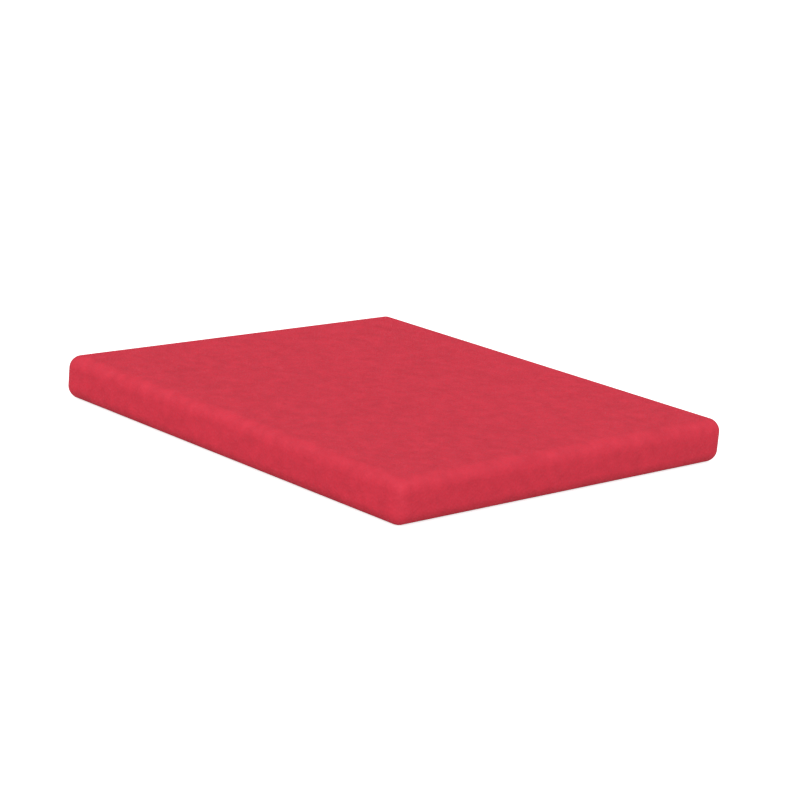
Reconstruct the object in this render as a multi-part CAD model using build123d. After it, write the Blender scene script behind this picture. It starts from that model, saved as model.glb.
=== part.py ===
from build123d import *
import os

# A heavy cutting board for butcher and deli work, in millimetres.
#
# The real board is one solid slab of high-density polyethylene and nothing else. It is sawn from thick sheet,
# its four upright corners are cut round, and the same round-over cutter then runs along the rim of both faces.
# Both faces are alike, so either one can be cut on while the board rests flat on the other. It has no feet,
# groove, handle or fastener.
#
# Frame: +Z up, X across the board's width, Y along its length. The origin is the centre of the underside.

WIDTH = 400.0  # along X
LENGTH = 440.0  # along Y
THICKNESS = 40.0  # along Z, a stock sheet thickness
EDGE_RADIUS = 12.0  # the cutter's radius, on the upright corners and on the rim of both faces


def make_board():
    """The whole board: a flat slab with every edge rounded, so that each corner ends in an eighth of a ball."""
    sawn_slab = Box(WIDTH, LENGTH, THICKNESS, align=(Align.CENTER, Align.CENTER, Align.MIN))
    return fillet(sawn_slab.edges(), radius=EDGE_RADIUS)


os.makedirs("parts", exist_ok=True)
export_step(make_board(), "parts/board.step")
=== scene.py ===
"""The looks of a heavy one-piece polyethylene cutting board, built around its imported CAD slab.

The board is one slab of dyed polyethylene. Its two faces are planed and lightly structured, so that food
doesn't slip. Its rim and upright corners are routed to one radius, which leaves a smoother skin with faint
cutter marks. The visible slab is a fine quad mesh that follows the CAD slab, with the shallow relief of
both tools pressed into it. The finer grain of each finish is in its material.
"""

import logging
import math
from abc import ABC, abstractmethod
from dataclasses import dataclass, field
from enum import Enum
from itertools import product
from typing import ClassVar

import bmesh
import bpy
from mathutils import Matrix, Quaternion, Vector, noise


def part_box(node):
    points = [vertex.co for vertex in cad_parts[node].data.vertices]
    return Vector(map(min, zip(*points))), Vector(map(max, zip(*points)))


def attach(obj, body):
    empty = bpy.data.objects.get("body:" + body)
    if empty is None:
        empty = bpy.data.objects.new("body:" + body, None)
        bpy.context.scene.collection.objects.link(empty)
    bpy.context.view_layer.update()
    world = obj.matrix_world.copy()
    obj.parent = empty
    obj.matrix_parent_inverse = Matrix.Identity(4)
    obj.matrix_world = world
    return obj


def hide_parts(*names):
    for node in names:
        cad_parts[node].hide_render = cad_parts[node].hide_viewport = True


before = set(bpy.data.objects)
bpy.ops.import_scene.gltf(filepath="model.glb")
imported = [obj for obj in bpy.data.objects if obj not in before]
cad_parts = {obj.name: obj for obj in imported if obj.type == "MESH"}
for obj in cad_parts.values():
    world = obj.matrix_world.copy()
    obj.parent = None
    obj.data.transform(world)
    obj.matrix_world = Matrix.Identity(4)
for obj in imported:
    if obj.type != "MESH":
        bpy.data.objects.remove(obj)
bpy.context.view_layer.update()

LOG = logging.getLogger("cutting_board")
MM = 0.001
CM = 0.01
EIGHTH_TURN = math.pi / 4
WHITE = (1.0, 1.0, 1.0, 1.0)

Colour = tuple[float, float, float, float]
Feed = float | Colour | bpy.types.NodeSocket


# ---------------------------------------------------------------------------------------------- node wiring


class Wiring:
    """A shader node tree, with short ways to add nodes and join them."""

    def __init__(self, tree: bpy.types.NodeTree) -> None:
        """Empties the node tree of a material, world or group, and keeps hold of it."""
        self.tree = tree
        tree.nodes.clear()

    def add(self, kind: str, **settings: object) -> bpy.types.Node:
        """Adds a node.

        Args:
            kind: the node's type name, without its "ShaderNode" prefix.
            settings: the node's own properties, such as operation="SINE".

        Returns:
            The new node.
        """
        node = self.tree.nodes.new("ShaderNode" + kind)
        for name, value in settings.items():
            setattr(node, name, value)
        return node

    def feed(self, target: bpy.types.NodeSocket, source: Feed) -> None:
        """Gives an input a value, or joins it to an output.

        Args:
            target: the input.
            source: a value that suits it, or the output that is to feed it.
        """
        if isinstance(source, bpy.types.NodeSocket):
            self.tree.links.new(source, target)
        else:
            target.default_value = source

    def maths(self, operation: str, *terms: Feed, clamp: bool = False) -> bpy.types.NodeSocket:
        """Adds one step of arithmetic.

        Args:
            operation: a Math node operation, such as "MULTIPLY".
            terms: its terms, as numbers or outputs, in order.
            clamp: keeps the result from 0 to 1.

        Returns:
            The result's output.
        """
        node = self.add("Math", operation=operation, use_clamp=clamp)
        for target, term in zip(node.inputs, terms):
            self.feed(target, term)
        return node.outputs["Value"]

    def remap(
        self, value: Feed, old: tuple[Feed, Feed], new: tuple[Feed, Feed]
    ) -> bpy.types.NodeSocket:
        """Maps a value smoothly from one range onto another, held at both ends.

        Args:
            value: what is mapped.
            old: the range that it comes in.
            new: the range that it leaves in.

        Returns:
            The mapped value's output.
        """
        node = self.add("MapRange", interpolation_type="SMOOTHSTEP")
        names = ("Value", "From Min", "From Max", "To Min", "To Max")
        for name, source in zip(names, (value, *old, *new)):
            self.feed(node.inputs[name], source)
        return node.outputs["Result"]

    def blend(self, share: Feed, first: Feed, second: Feed) -> bpy.types.NodeSocket:
        """Blends two values.

        Args:
            share: how much of the second is in the blend, from 0 to 1.
            first: the first value.
            second: the second value.

        Returns:
            The blended value's output.
        """
        node = self.add("Mix", data_type="FLOAT")
        for target, source in zip(node.inputs[:1] + node.inputs[2:4], (share, first, second)):
            self.feed(target, source)
        return node.outputs["Result"]

    def noise(
        self, place: Feed, size: Feed, detail: float, roughness: float = 0.5
    ) -> bpy.types.NodeSocket:
        """Adds a cloudy pattern.

        Args:
            place: where the pattern is read, in metres.
            size: the length of one lump, in metres.
            detail: how many finer layers it has.
            roughness: how strong the finer layers are.

        Returns:
            The pattern's output, about 0.5 on average.
        """
        node = self.add("TexNoise")
        self.feed(node.inputs["Vector"], place)
        self.feed(node.inputs["Scale"], self.maths("DIVIDE", 1.0, size))
        node.inputs["Detail"].default_value = detail
        node.inputs["Roughness"].default_value = roughness
        return node.outputs["Fac"]


class Port(Enum):
    """The kinds of socket that a surface effect has."""

    PLACE = "NodeSocketVector"
    COLOUR = "NodeSocketColor"
    VALUE = "NodeSocketFloat"


class Effect(ABC):
    """A surface effect that several finishes share, as one node group that is built once."""

    title: ClassVar[str]
    takes: ClassVar[dict[str, Port]]
    gives: ClassVar[dict[str, Port]]

    @classmethod
    def group(cls) -> bpy.types.ShaderNodeTree:
        """Finds the effect's node group, and builds it the first time.

        Returns:
            The node group.
        """
        found = bpy.data.node_groups.get(cls.title)
        if found:
            return found
        tree = bpy.data.node_groups.new(cls.title, "ShaderNodeTree")
        for direction, ports in (("INPUT", cls.takes), ("OUTPUT", cls.gives)):
            for name, port in ports.items():
                tree.interface.new_socket(name=name, in_out=direction, socket_type=port.value)
        wiring = Wiring(tree)
        start = tree.nodes.new("NodeGroupInput")
        end = tree.nodes.new("NodeGroupOutput")
        for name, source in cls.wire(wiring, start.outputs).items():
            wiring.feed(end.inputs[name], source)
        return tree

    @classmethod
    @abstractmethod
    def wire(cls, wiring: Wiring, given: bpy.types.NodeOutputs) -> dict[str, bpy.types.NodeSocket]:
        """Lays out the effect's inside.

        Args:
            wiring: the group's own tree.
            given: the group's inputs, by name.

        Returns:
            What feeds each of the group's outputs, by name.
        """

    @classmethod
    def place(cls, wiring: Wiring, **values: Feed) -> bpy.types.NodeOutputs:
        """Puts the effect into a material.

        Args:
            wiring: the material's tree.
            values: a number, colour or output for each input, named in lower case with underscores.

        Returns:
            The effect's outputs, by name.
        """
        node = wiring.add("Group", node_tree=cls.group())
        for name, source in values.items():
            wiring.feed(node.inputs[name.replace("_", " ").capitalize()], source)
        return node.outputs


# -------------------------------------------------------------------------------------------------- effects


class PigmentMottle(Effect):
    """Colour that is never quite even: broad clouds, and smaller patches among them."""

    title = "pigment_mottle"
    takes = {
        "Place": Port.PLACE,
        "Colour": Port.COLOUR,
        "Cloud size": Port.VALUE,
        "Cloud strength": Port.VALUE,
        "Patch size": Port.VALUE,
        "Patch strength": Port.VALUE,
    }
    gives = {"Colour": Port.COLOUR}
    detail: ClassVar[float] = 2.0
    pattern_middle: ClassVar[float] = 0.5

    @classmethod
    def wire(cls, wiring: Wiring, given: bpy.types.NodeOutputs) -> dict[str, bpy.types.NodeSocket]:
        """Scales the colour's brightness by two cloudy patterns.

        Args:
            wiring: the group's own tree.
            given: the group's inputs, by name.

        Returns:
            What feeds the group's output: the uneven colour.
        """
        brightness: Feed = 1.0
        for kind in ("Cloud", "Patch"):
            pattern = wiring.noise(given["Place"], given[f"{kind} size"], cls.detail)
            swing = wiring.maths("SUBTRACT", pattern, cls.pattern_middle)
            scaled = wiring.maths("MULTIPLY", swing, given[f"{kind} strength"])
            brightness = wiring.maths("ADD", brightness, scaled)
        shade = wiring.add("HueSaturation")
        wiring.feed(shade.inputs["Value"], brightness)
        wiring.feed(shade.inputs["Color"], given["Colour"])
        return {"Colour": shade.outputs["Color"]}


class StructuredGrain(Effect):
    """The pebbled grain of pressed polyethylene, with a finer tooth on top."""

    title = "structured_grain"
    takes = {
        "Place": Port.PLACE,
        "Pebble size": Port.VALUE,
        "Tooth size": Port.VALUE,
        "Tooth share": Port.VALUE,
    }
    gives = {"Height": Port.VALUE}
    pebble_smoothness: ClassVar[float] = 0.45
    pebble_reach: ClassVar[tuple[float, float]] = (0.0, 0.75)
    tooth_detail: ClassVar[float] = 2.0
    tooth_roughness: ClassVar[float] = 0.6
    tooth_reach: ClassVar[tuple[float, float]] = (0.25, 0.75)

    @classmethod
    def wire(cls, wiring: Wiring, given: bpy.types.NodeOutputs) -> dict[str, bpy.types.NodeSocket]:
        """Blends rounded cells with a fine cloudy pattern, each stretched to run from 0 to 1.

        Args:
            wiring: the group's own tree.
            given: the group's inputs, by name.

        Returns:
            What feeds the group's output: the relief, from 0 to 1.
        """
        cells = wiring.add("TexVoronoi", feature="SMOOTH_F1")
        wiring.feed(cells.inputs["Vector"], given["Place"])
        wiring.feed(cells.inputs["Scale"], wiring.maths("DIVIDE", 1.0, given["Pebble size"]))
        cells.inputs["Smoothness"].default_value = cls.pebble_smoothness
        pebbles = wiring.remap(cells.outputs["Distance"], cls.pebble_reach, (1.0, 0.0))
        fine = wiring.noise(given["Place"], given["Tooth size"], cls.tooth_detail, cls.tooth_roughness)
        tooth = wiring.remap(fine, cls.tooth_reach, (0.0, 1.0))
        return {"Height": wiring.blend(given["Tooth share"], pebbles, tooth)}


class CutterMarks(Effect):
    """What a turning cutter leaves: scallops along its path, and streaks from nicks in its edge."""

    title = "cutter_marks"
    takes = {
        "Path": Port.PLACE,
        "Pitch": Port.VALUE,
        "Wander": Port.VALUE,
        "Streak size": Port.VALUE,
        "Streak share": Port.VALUE,
    }
    gives = {"Height": Port.VALUE}
    drift_size: ClassVar[float] = 9 * MM
    drift_detail: ClassVar[float] = 2.0
    streak_squeeze: ClassVar[float] = 0.02
    streak_detail: ClassVar[float] = 3.0
    streak_roughness: ClassVar[float] = 0.6

    @classmethod
    def wire(cls, wiring: Wiring, given: bpy.types.NodeOutputs) -> dict[str, bpy.types.NodeSocket]:
        """Blends scallops along the path's first axis with streaks across its second.

        Args:
            wiring: the group's own tree.
            given: the group's inputs, by name.

        Returns:
            What feeds the group's output: the relief, from 0 to 1.
        """
        axes = wiring.add("SeparateXYZ")
        wiring.feed(axes.inputs["Vector"], given["Path"])
        uneven = wiring.noise(given["Path"], cls.drift_size, cls.drift_detail)
        drift = wiring.maths("MULTIPLY", uneven, given["Wander"])
        turns = wiring.maths("ADD", wiring.maths("DIVIDE", axes.outputs["X"], given["Pitch"]), drift)
        wave = wiring.maths("SINE", wiring.maths("MULTIPLY", turns, math.pi))
        scallop = wiring.maths("ABSOLUTE", wave)
        drawn_out = wiring.add("CombineXYZ")
        squeezed = wiring.maths("MULTIPLY", axes.outputs["X"], cls.streak_squeeze)
        wiring.feed(drawn_out.inputs["X"], squeezed)
        wiring.feed(drawn_out.inputs["Y"], axes.outputs["Y"])
        streak = wiring.noise(
            drawn_out.outputs["Vector"], given["Streak size"], cls.streak_detail, cls.streak_roughness
        )
        return {"Height": wiring.blend(given["Streak share"], scallop, streak)}


class RubAndHighlight(Effect):
    """Dye paled where the rim and corners stand out, in broken patches: partly wear from handling and
    stacking, partly a painted highlight along the rounded edges.
    """

    title = "rub_and_painted_highlight"
    takes = {
        "Place": Port.PLACE,
        "Colour": Port.COLOUR,
        "Pale colour": Port.COLOUR,
        "Proud": Port.VALUE,
        "Patch size": Port.VALUE,
        "Strength": Port.VALUE,
    }
    gives = {"Colour": Port.COLOUR}
    patch_detail: ClassVar[float] = 4.0
    patch_roughness: ClassVar[float] = 0.6
    patch_reach: ClassVar[tuple[float, float]] = (0.3, 0.7)
    rub_highlight_range: ClassVar[tuple[float, float]] = (0.45, 1.0)

    @classmethod
    def wire(cls, wiring: Wiring, given: bpy.types.NodeOutputs) -> dict[str, bpy.types.NodeSocket]:
        """Mixes in the paler colour where the rim mask is high and the patches fall: rub wear mixed with a
        painted highlight.

        Args:
            wiring: the group's own tree.
            given: the group's inputs, by name.

        Returns:
            What feeds the group's output: the colour with its rub wear and painted highlight.
        """
        cloudy = wiring.noise(given["Place"], given["Patch size"], cls.patch_detail, cls.patch_roughness)
        patches = wiring.remap(cloudy, cls.patch_reach, cls.rub_highlight_range)
        reach = wiring.maths("MULTIPLY", given["Proud"], patches)
        # painted highlight: the paler red stands in for light on the rounded rim, mixed with real rub wear
        mixed = wiring.add("MixRGB")
        wiring.feed(mixed.inputs["Fac"], wiring.maths("MULTIPLY", reach, given["Strength"], clamp=True))
        wiring.feed(mixed.inputs["Color1"], given["Colour"])
        wiring.feed(mixed.inputs["Color2"], given["Pale colour"])
        return {"Colour": mixed.outputs["Color"]}


# ------------------------------------------------------------------------------------------------- finishes


@dataclass(frozen=True)
class DyedPolyethylene:
    """High-density polyethylene, dyed through: waxy, matte and a little translucent."""

    colour: Colour = (0.637, 0.0362, 0.0634, 1.0)
    # a paler red for the rim and corners: partly rub wear, partly a painted highlight on the rounded edges
    pale_colour: Colour = (0.650, 0.056, 0.086, 1.0)
    specular_level: float = 0.10
    scatter_weight: float = 0.08
    scatter_reach: float = 1.6 * MM
    scatter_radius: tuple[float, float, float] = (1.0, 0.32, 0.26)
    cloud_size: float = 70 * MM
    cloud_strength: float = 0.08
    patch_size: float = 11 * MM
    patch_strength: float = 0.32
    rub_highlight_patch_size: float = 45 * MM

    def shader(self, wiring: Wiring) -> bpy.types.Node:
        """Adds the shader with everything that is the same all over the plastic.

        Args:
            wiring: the material's tree.

        Returns:
            The shader node, already joined to the material's output.
        """
        node = wiring.add("BsdfPrincipled", subsurface_method="RANDOM_WALK")
        node.inputs["Specular IOR Level"].default_value = self.specular_level
        node.inputs["Subsurface Weight"].default_value = self.scatter_weight
        node.inputs["Subsurface Scale"].default_value = self.scatter_reach
        node.inputs["Subsurface Radius"].default_value = self.scatter_radius
        output = wiring.add("OutputMaterial")
        wiring.feed(output.inputs["Surface"], node.outputs["BSDF"])
        return node


@dataclass(frozen=True)
class PlasticFinish(ABC):
    """One machined finish on the dyed plastic: the grain, the tool's marks and the sheen over them."""

    SHEEN_REACH: ClassVar[tuple[float, float]] = (0.2, 0.9)

    name: str
    smoothest: float
    roughest: float
    depth: float
    rub_highlight_strength: float
    pebble_size: float
    tooth_size: float
    tooth_share: float
    plastic: DyedPolyethylene = field(default_factory=DyedPolyethylene)

    @abstractmethod
    def marks(self, wiring: Wiring, path: bpy.types.NodeSocket) -> tuple[float, bpy.types.NodeSocket]:
        """Lays out the tool's own marks.

        Args:
            wiring: the material's tree.
            path: the point along and across the cutter's path, in metres.

        Returns:
            The marks' share of the relief, and their output, from 0 to 1.
        """

    def material(self) -> bpy.types.Material:
        """Builds the finish.

        Returns:
            The material.
        """
        material = bpy.data.materials.new(self.name)
        material.use_nodes = True
        wiring = Wiring(material.node_tree)
        shader = self.plastic.shader(wiring)
        place = wiring.add("TexCoord").outputs["Object"]
        # the rim and corners are painted paler, partly rub wear and partly a painted highlight
        rub_highlit = RubAndHighlight.place(
            wiring,
            place=place,
            colour=self.plastic.colour,
            pale_colour=self.plastic.pale_colour,
            proud=wiring.add("Attribute", attribute_name=Slab.RUB_HIGHLIGHT_LAYER).outputs["Fac"],
            patch_size=self.plastic.rub_highlight_patch_size,
            strength=self.rub_highlight_strength,
        )
        dyed = PigmentMottle.place(
            wiring,
            place=place,
            colour=rub_highlit["Colour"],
            cloud_size=self.plastic.cloud_size,
            cloud_strength=self.plastic.cloud_strength,
            patch_size=self.plastic.patch_size,
            patch_strength=self.plastic.patch_strength,
        )
        wiring.feed(shader.inputs["Base Color"], dyed["Colour"])
        height = self.height(wiring, place)
        bump = wiring.add("Bump")
        bump.inputs["Strength"].default_value = 1.0
        bump.inputs["Distance"].default_value = self.depth
        wiring.feed(bump.inputs["Height"], height)
        wiring.feed(shader.inputs["Normal"], bump.outputs["Normal"])
        sheen = wiring.remap(height, self.SHEEN_REACH, (self.roughest, self.smoothest))
        wiring.feed(shader.inputs["Roughness"], sheen)
        return material

    def height(self, wiring: Wiring, place: bpy.types.NodeSocket) -> bpy.types.NodeSocket:
        """Lays the tool's marks over the plastic's own grain.

        Args:
            wiring: the material's tree.
            place: the point on the board, in metres.

        Returns:
            The relief's output, from 0 to 1.
        """
        grain = StructuredGrain.place(
            wiring,
            place=place,
            pebble_size=self.pebble_size,
            tooth_size=self.tooth_size,
            tooth_share=self.tooth_share,
        )
        share, marks = self.marks(wiring, wiring.add("UVMap", uv_map=Slab.PATH_LAYER).outputs["UV"])
        return wiring.blend(share, grain["Height"], marks)


@dataclass(frozen=True)
class StructuredFace(PlasticFinish):
    """A face off the planer, pressed with a fine pebbled grain so that food doesn't slip."""

    name: str = "structured_face"
    smoothest: float = 0.62
    roughest: float = 0.80
    depth: float = 0.60 * MM
    rub_highlight_strength: float = 0.15
    pebble_size: float = 2.4 * MM
    tooth_size: float = 0.8 * MM
    tooth_share: float = 0.12
    ripple_pitch: float = 6.5 * MM
    ripple_wander: float = 0.5
    streak_size: float = 2.4 * MM
    streak_share: float = 0.5
    ripple_share: float = 0.08

    def marks(self, wiring: Wiring, path: bpy.types.NodeSocket) -> tuple[float, bpy.types.NodeSocket]:
        """Lays out the planer's faint ripple.

        Args:
            wiring: the material's tree.
            path: the point along and across the cutter's path, in metres.

        Returns:
            The marks' share of the relief, and their output, from 0 to 1.
        """
        ripple = CutterMarks.place(
            wiring,
            path=path,
            pitch=self.ripple_pitch,
            wander=self.ripple_wander,
            streak_size=self.streak_size,
            streak_share=self.streak_share,
        )
        return self.ripple_share, ripple["Height"]


@dataclass(frozen=True)
class RoutedEdge(PlasticFinish):
    """The rim and the upright corners, off the router."""

    name: str = "routed_edge"
    smoothest: float = 0.52
    roughest: float = 0.70
    depth: float = 0.35 * MM
    # the rim takes a strong paler red: rub wear with a painted highlight
    rub_highlight_strength: float = 0.40
    pebble_size: float = 2.4 * MM
    tooth_size: float = 0.8 * MM
    tooth_share: float = 0.15
    scallop_pitch: float = 1.3 * MM
    scallop_wander: float = 0.8
    streak_size: float = 0.8 * MM
    streak_share: float = 0.5
    marks_share: float = 0.15

    def marks(self, wiring: Wiring, path: bpy.types.NodeSocket) -> tuple[float, bpy.types.NodeSocket]:
        """Lays out the router's scallops and streaks.

        Args:
            wiring: the material's tree.
            path: the point along and across the cutter's path, in metres.

        Returns:
            The marks' share of the relief, and their output, from 0 to 1.
        """
        cuts = CutterMarks.place(
            wiring,
            path=path,
            pitch=self.scallop_pitch,
            wander=self.scallop_wander,
            streak_size=self.streak_size,
            streak_share=self.streak_share,
        )
        return self.marks_share, cuts["Height"]


@dataclass(frozen=True)
class StudioFloorFinish:
    """A pale matte sweep that glows to the camera alone, so that it looks clean white."""

    name: str = "studio_floor"
    colour: Colour = (0.68, 0.68, 0.68, 1.0)
    glow: float = 0.80
    cloud_size: float = 40 * CM
    cloud_strength: float = 0.02
    patch_size: float = 4 * MM
    patch_strength: float = 0.01

    def material(self) -> bpy.types.Material:
        """Builds the finish.

        Returns:
            The material.
        """
        material = bpy.data.materials.new(self.name)
        material.use_nodes = True
        wiring = Wiring(material.node_tree)
        shader = wiring.add("BsdfPrincipled")
        shader.inputs["Specular IOR Level"].default_value = 0.0
        shader.inputs["Roughness"].default_value = 1.0
        shade = PigmentMottle.place(
            wiring,
            place=wiring.add("TexCoord").outputs["Object"],
            colour=self.colour,
            cloud_size=self.cloud_size,
            cloud_strength=self.cloud_strength,
            patch_size=self.patch_size,
            patch_strength=self.patch_strength,
        )
        wiring.feed(shader.inputs["Base Color"], shade["Colour"])
        seen = wiring.add("LightPath").outputs["Is Camera Ray"]
        wiring.feed(shader.inputs["Emission Strength"], wiring.maths("MULTIPLY", seen, self.glow))
        output = wiring.add("OutputMaterial")
        wiring.feed(output.inputs["Surface"], shader.outputs["BSDF"])
        return material


# ---------------------------------------------------------------------------------------------------- board


class Zone(Enum):
    """Which tool finished a stretch of the surface. The value is the slot that its material takes."""

    STRUCTURED = 0
    ROUTED = 1


@dataclass(frozen=True)
class Station:
    """A place on the rounded slab, measured from its middle."""

    core: Vector
    normal: Vector
    radius: float

    @property
    def point(self) -> Vector:
        """The place itself."""
        return self.core + self.normal * self.radius


@dataclass
class Slab:
    """The visible slab: a lattice on a box, drawn in to the rounded shape and pressed with tool relief."""

    PATH_LAYER: ClassVar[str] = "tool_path"
    # vertex mask for the paler rim: rub wear and a painted highlight
    RUB_HIGHLIGHT_LAYER: ClassVar[str] = "proud"
    RIM_EXPOSURE: ClassVar[float] = 0.8
    CORNER_EXPOSURE: ClassVar[float] = 0.2
    STRAIGHT_UP_LIMIT: ClassVar[float] = 1e-4

    low: Vector
    high: Vector
    edge_radius: float = 12 * MM
    arc_steps: int = 9
    cell: float = 2.35 * MM
    witness_width: float = 0.22 * MM
    witness_depth: float = 0.035 * MM
    swell_size: float = 60 * MM
    swell_depth: float = 0.05 * MM
    peel_size: float = 8 * MM
    peel_depth: float = 0.05 * MM
    wobble_size: float = 25 * MM
    wobble_depth: float = 0.04 * MM

    @property
    def centre(self) -> Vector:
        """The middle of the slab's box."""
        return (self.low + self.high) / 2

    @property
    def core(self) -> Vector:
        """Half the size of the inner box that the edge radius is swept round."""
        return (self.high - self.low) / 2 - Vector((self.edge_radius,) * 3)

    def lines(self, core: float) -> list[float]:
        """Places the lattice lines along one axis, in even steps on the flat and even angles on the arcs.

        Args:
            core: half the flat's length along this axis.

        Returns:
            The lines' coordinates from one side of the box to the other, measured from its middle.
        """
        join = self.witness_width / self.edge_radius
        steps = range(1, self.arc_steps + 1)
        angles = [0.0, join] + [EIGHTH_TURN * step / self.arc_steps for step in steps]
        arc = [core + self.edge_radius * math.tan(angle) for angle in angles]
        flat_end = core - self.witness_width
        count = round(2 * flat_end / self.cell)
        flat = [flat_end * (2 * step / count - 1) for step in range(count + 1)]
        return [-x for x in reversed(arc)] + flat + arc

    def station(self, point: Vector) -> Station:
        """Draws a point of the box's surface, measured from its middle, in to the rounded slab."""
        core = Vector([max(-limit, min(limit, x)) for x, limit in zip(point, self.core)])
        return Station(core, (point - core).normalized(), self.edge_radius)

    def relief(self, point: Vector) -> float:
        """How far the tools cut below the nominal surface.

        Args:
            point: the point on the nominal surface, measured from the slab's middle.

        Returns:
            The depth, in metres, never below 0.
        """
        swell, peel, wobble = (
            depth * (0.5 + 0.5 * noise.noise(point / size))
            for size, depth in (
                (self.swell_size, self.swell_depth),
                (self.peel_size, self.peel_depth),
                (self.wobble_size, self.wobble_depth),
            )
        )
        past_face = max(abs(point.x) - self.core.x, abs(point.y) - self.core.y)
        routed = max(0.0, min(1.0, 0.5 + past_face / self.witness_width))
        return swell + (1 - routed) * peel + routed * (self.witness_depth + wobble)

    def proud(self, normal: Vector) -> float:
        """How strongly a place takes the paler rim, for rub wear and a painted highlight: 0 on a flat, high
        round the rim, and 1 on a corner.

        Args:
            normal: the surface's outward normal.

        Returns:
            The exposure, from 0 to 1.
        """
        least, second, first = sorted(abs(x) for x in normal)
        cornering = least * math.sqrt(3)
        return min(1.0, second / first) * (self.RIM_EXPOSURE + self.CORNER_EXPOSURE * cornering)

    def path(self, station: Station, middle: Station) -> tuple[float, float]:
        """Where a place on the rim lies along and across the cutter's path.

        Args:
            station: the place.
            middle: the middle of its mesh face, which settles the turn where the path closes on itself.

        Returns:
            The distance round the outline, and the distance over the rim's profile, in metres.
        """
        from_corner = (math.atan2(middle.normal.y, middle.normal.x) + EIGHTH_TURN) % math.tau
        middle_turn = from_corner - EIGHTH_TURN
        turn = middle_turn
        if station.normal.to_2d().length > self.STRAIGHT_UP_LIMIT:
            own_turn = math.atan2(station.normal.y, station.normal.x)
            turn += math.remainder(own_turn - middle_turn, math.tau)
        quarter = int((middle_turn + EIGHTH_TURN) / (2 * EIGHTH_TURN))
        x, y, _ = station.core
        straight = quarter * (self.core.x + self.core.y) + (y, -x, -y, x)[quarter]
        rise = math.asin(max(-1.0, min(1.0, station.normal.z)))
        return straight + self.edge_radius * turn, station.core.z + self.edge_radius * rise

    def build(self, name: str) -> bpy.types.Object:
        """Builds the slab's mesh.

        Args:
            name: the object's name.

        Returns:
            The object, in the board's own frame.
        """
        axes = [self.lines(core) for core in self.core]
        mesh = bmesh.new()
        rub_highlight_layer = mesh.verts.layers.float.new(self.RUB_HIGHLIGHT_LAYER)
        path_layer = mesh.loops.layers.uv.new(self.PATH_LAYER)
        stations: list[Station] = []
        made: dict[tuple[int, ...], bmesh.types.BMVert] = {}
        for key in product(*(range(len(axis)) for axis in axes)):
            if not any(index in (0, len(axis) - 1) for index, axis in zip(key, axes)):
                continue
            station = self.station(Vector([axis[index] for index, axis in zip(key, axes)]))
            cut = station.normal * self.relief(station.point)
            made[key] = mesh.verts.new(self.centre + station.point - cut)
            # mask for the rim's rub wear and painted highlight
            made[key][rub_highlight_layer] = self.proud(station.normal)
            stations.append(station)
        mesh.verts.index_update()
        for fixed, far in product(range(3), (False, True)):
            u, v = (fixed + 1) % 3, (fixed + 2) % 3
            for i, j in product(range(len(axes[u]) - 1), range(len(axes[v]) - 1)):
                ring = [(i, j), (i + 1, j), (i + 1, j + 1), (i, j + 1)]
                keys = []
                for a, b in ring if far else reversed(ring):
                    key = [0, 0, 0]
                    key[fixed], key[u], key[v] = far * (len(axes[fixed]) - 1), a, b
                    keys.append(tuple(key))
                face = mesh.faces.new([made[key] for key in keys])
                self.finish_face(face, stations, path_layer, fixed == 2)
        data = bpy.data.meshes.new(name)
        mesh.to_mesh(data)
        mesh.free()
        slab = bpy.data.objects.new(name, data)
        bpy.context.scene.collection.objects.link(slab)
        return slab

    def finish_face(
        self,
        face: bmesh.types.BMFace,
        stations: list[Station],
        path_layer: bmesh.types.BMLayerItem,
        level: bool,
    ) -> None:
        """Shades one mesh face smooth, and gives it its zone and its place on the tool's path.

        Args:
            face: the mesh face.
            stations: the place of each vertex, by its index.
            path_layer: the UV layer that takes the path.
            level: whether the face is on the top or the bottom of the lattice.
        """
        face.smooth = True
        middle = face.calc_center_median() - self.centre
        planed = level and abs(middle.x) < self.core.x and abs(middle.y) < self.core.y
        face.material_index = (Zone.STRUCTURED if planed else Zone.ROUTED).value
        middle_station = self.station(middle)
        for loop in face.loops:
            station = stations[loop.vert.index]
            if planed:
                loop[path_layer].uv = station.core.yx
            else:
                loop[path_layer].uv = self.path(station, middle_station)


@dataclass
class CuttingBoard:
    """The whole board: one slab, in its two machined finishes."""

    node: str = "board"
    body: str = "root"
    slot: str = "red_polyethylene"
    piece_name: str = "cutting_board"
    face: StructuredFace = field(default_factory=StructuredFace)
    edge: RoutedEdge = field(default_factory=RoutedEdge)

    def build(self) -> bpy.types.Object:
        """Builds, dresses and seats the board.

        Returns:
            The visible slab.
        """
        low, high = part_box(self.node)
        piece = Slab(low, high).build(self.piece_name)
        self.dress(piece)
        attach(piece, self.body)
        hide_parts(self.node)
        return piece

    def dress(self, piece: bpy.types.Object) -> None:
        """Gives each zone of the slab its finish.

        Args:
            piece: the visible slab.
        """
        finishes = {Zone.STRUCTURED: self.face, Zone.ROUTED: self.edge}
        for zone in Zone:
            piece.data.materials.append(finishes[zone].material())


# --------------------------------------------------------------------------------------------------- studio


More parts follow.
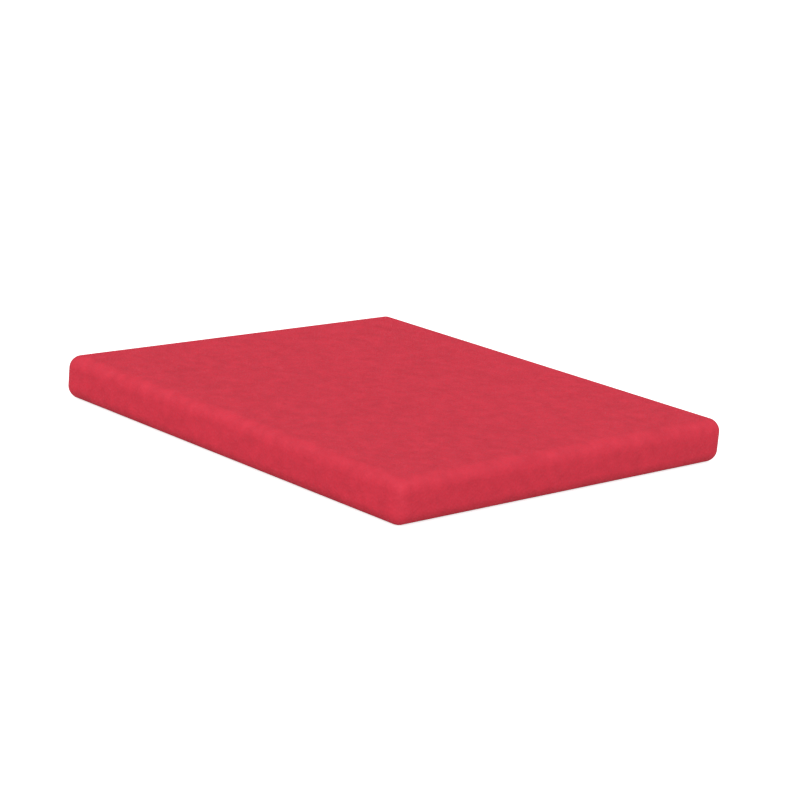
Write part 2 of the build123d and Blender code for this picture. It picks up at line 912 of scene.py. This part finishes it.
@dataclass(frozen=True)
class Viewpoint:
    """Where the camera stands: above the board's front corner, leaning a little to one side."""

    azimuth: float = math.radians(-44.9)
    elevation: float = math.radians(14.6)
    lean: float = math.radians(5.0)
    distance: float = 2.198
    aim: tuple[float, float, float] = (0.0098, -0.0001, 0.0262)
    lens_mm: float = 110.3
    sensor_mm: float = 36.0

    def camera(self) -> bpy.types.Object:
        """Sets up the camera and makes it the scene's own.

        Returns:
            The camera.
        """
        data = bpy.data.cameras.new("camera")
        data.lens, data.sensor_width = self.lens_mm, self.sensor_mm
        camera = bpy.data.objects.new("camera", data)
        level = math.cos(self.elevation)
        east, south = math.sin(self.azimuth) * level, math.cos(self.azimuth) * level
        back = Vector((east, -south, math.sin(self.elevation)))
        camera.location = Vector(self.aim) + back * self.distance
        camera.rotation_mode = "QUATERNION"
        camera.rotation_quaternion = (-back).to_track_quat("-Z", "Y") @ Quaternion((0, 0, 1), self.lean)
        bpy.context.scene.collection.objects.link(camera)
        bpy.context.scene.camera = camera
        return camera


@dataclass(frozen=True)
class KeyLight:
    """A large soft light, high over the camera and a little to its left, that falls evenly everywhere."""

    towards: tuple[float, float, float] = (-0.2466, -0.1978, 0.3164)
    strength: float = 1.405
    spread: float = math.radians(30.0)

    def build(self) -> bpy.types.Object:
        """Hangs the light.

        Returns:
            The light.
        """
        data = bpy.data.lights.new("key", "SUN")
        data.energy, data.angle = self.strength, self.spread
        light = bpy.data.objects.new("key", data)
        light.rotation_mode = "QUATERNION"
        light.rotation_quaternion = (-Vector(self.towards)).to_track_quat("-Z", "Y")
        bpy.context.scene.collection.objects.link(light)
        return light


@dataclass
class Studio:
    """A white sweep under even light, with one soft key light."""

    sky_strength: float = 0.74
    gloss_strength: float = 0.05
    backdrop_strength: float = 1.0
    floor_half: float = 30.0
    floor_drop: float = 0.05 * MM
    viewpoint: Viewpoint = field(default_factory=Viewpoint)
    key: KeyLight = field(default_factory=KeyLight)
    floor_finish: StudioFloorFinish = field(default_factory=StudioFloorFinish)

    def sky(self) -> bpy.types.World:
        """Lights the room evenly from all round, with dim reflections and a white backdrop.

        Returns:
            The world.
        """
        world = bpy.data.worlds.new("studio")
        world.use_nodes = True
        wiring = Wiring(world.node_tree)
        ray = wiring.add("LightPath").outputs
        unseen = wiring.blend(ray["Is Glossy Ray"], self.sky_strength, self.gloss_strength)
        background = wiring.add("Background")
        background.inputs["Color"].default_value = WHITE
        strength = wiring.blend(ray["Is Camera Ray"], unseen, self.backdrop_strength)
        wiring.feed(background.inputs["Strength"], strength)
        output = wiring.add("OutputWorld")
        wiring.feed(output.inputs["Surface"], background.outputs["Background"])
        bpy.context.scene.world = world
        return world

    def floor(self) -> bpy.types.Object:
        """Lays the floor just under the board.

        Returns:
            The floor.
        """
        mesh = bmesh.new()
        bmesh.ops.create_grid(mesh, x_segments=1, y_segments=1, size=self.floor_half)
        data = bpy.data.meshes.new("floor")
        mesh.to_mesh(data)
        mesh.free()
        floor = bpy.data.objects.new("floor", data)
        floor.location.z = -self.floor_drop
        data.materials.append(self.floor_finish.material())
        bpy.context.scene.collection.objects.link(floor)
        return floor

    def build(self) -> None:
        """Sets up the camera, the light and the floor."""
        bpy.context.scene.view_settings.view_transform = "Standard"
        self.viewpoint.camera()
        self.sky()
        self.key.build()
        self.floor()


def main() -> None:
    """Builds the studio and the board, and reports each piece."""
    logging.basicConfig(level=logging.INFO, format="%(name)s: %(message)s")
    Studio().build()
    piece = CuttingBoard().build()
    faces, finishes = len(piece.data.polygons), len(piece.data.materials)
    LOG.info("%s has %d faces and %d finishes", piece.name, faces, finishes)


if __name__ == "__main__":
    main()
